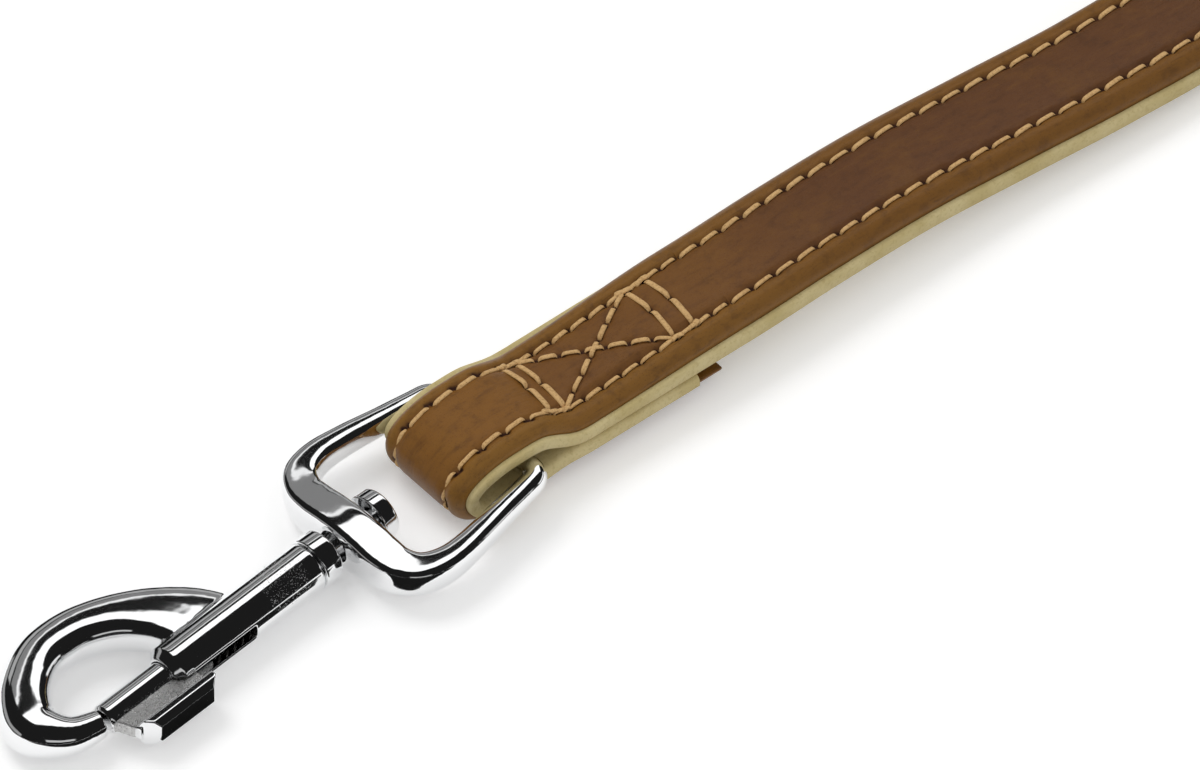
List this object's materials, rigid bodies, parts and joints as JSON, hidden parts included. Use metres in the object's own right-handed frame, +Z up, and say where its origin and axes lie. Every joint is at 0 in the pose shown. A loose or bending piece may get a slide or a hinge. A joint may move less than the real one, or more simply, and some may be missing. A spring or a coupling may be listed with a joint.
{
  "type": "training leash",
  "caption": "Lined leather training leash with a swivel bolt snap in its stitched front loop, its spare length rolled and tied, and a sewn hand loop.",
  "frame": {"origin": "On the surface the leash lies on, under the middle of the eye bar that the front loop goes round.", "axes": "+X along the strap from the snap to the hand loop, +Y to the side that the snap's hook is on, +Z up from the surface."},
  "size_m": [0.4923, 0.1893, 0.0216],
  "materials": {
    "leather_tan": "waxed leather drawn smooth over the front loop, fine grain, half gloss",
    "leather_brown": "waxed pull-up leather, darker along the middle and golden at the edges, half gloss",
    "lining_cream": "pale cream lining leather, matt, fine fibre on its cut edges",
    "leather_dark": "thin dark leather band, matt",
    "bright_plate": "bright nickel plate over a zinc casting, a few casting specks",
    "bolt_plate": "bright plate, rough as cast on the neck of the thumb lug",
    "spring_steel": "drawn spring wire, plain"
  },
  "bodies": {
    "strap": {"front_leather": "leather_tan", "front_lining": "lining_cream", "strap_leather": "leather_brown", "strap_lining": "lining_cream", "coil_leather": "leather_brown", "coil_lining": "lining_cream", "hand_leather": "leather_brown", "hand_lining": "lining_cream", "coil_tie": "leather_dark"},
    "eye": {"swivel_eye": "bright_plate"},
    "snap": {"snap_body": "bright_plate", "swivel_rivet": "bright_plate", "gate_spring": "spring_steel"},
    "gate": {"gate_bolt": "bolt_plate"}
  },
  "joints": [
    {"name": "eye_pivot", "type": "hinge", "parent": "strap", "child": "eye", "pos_m": [0, 0, 0.00605], "axis": [-0.0523, 0.9986, 0], "range_deg": [-100, 100]},
    {"name": "snap_swivel", "type": "hinge", "parent": "eye", "child": "snap", "pos_m": [-0.02651, -0.00139, 0.00435], "axis": [0.9948, 0.1011, 0.0103], "continuous": true},
    {"name": "gate_slide", "type": "slide", "parent": "snap", "child": "gate", "axis": [0.9948, 0.1011, 0.0103], "range_m": [0, 0.011], "stiffness_N_per_m": 300, "springref_m": -0.006, "deforming": ["gate_spring"]}
  ]
}
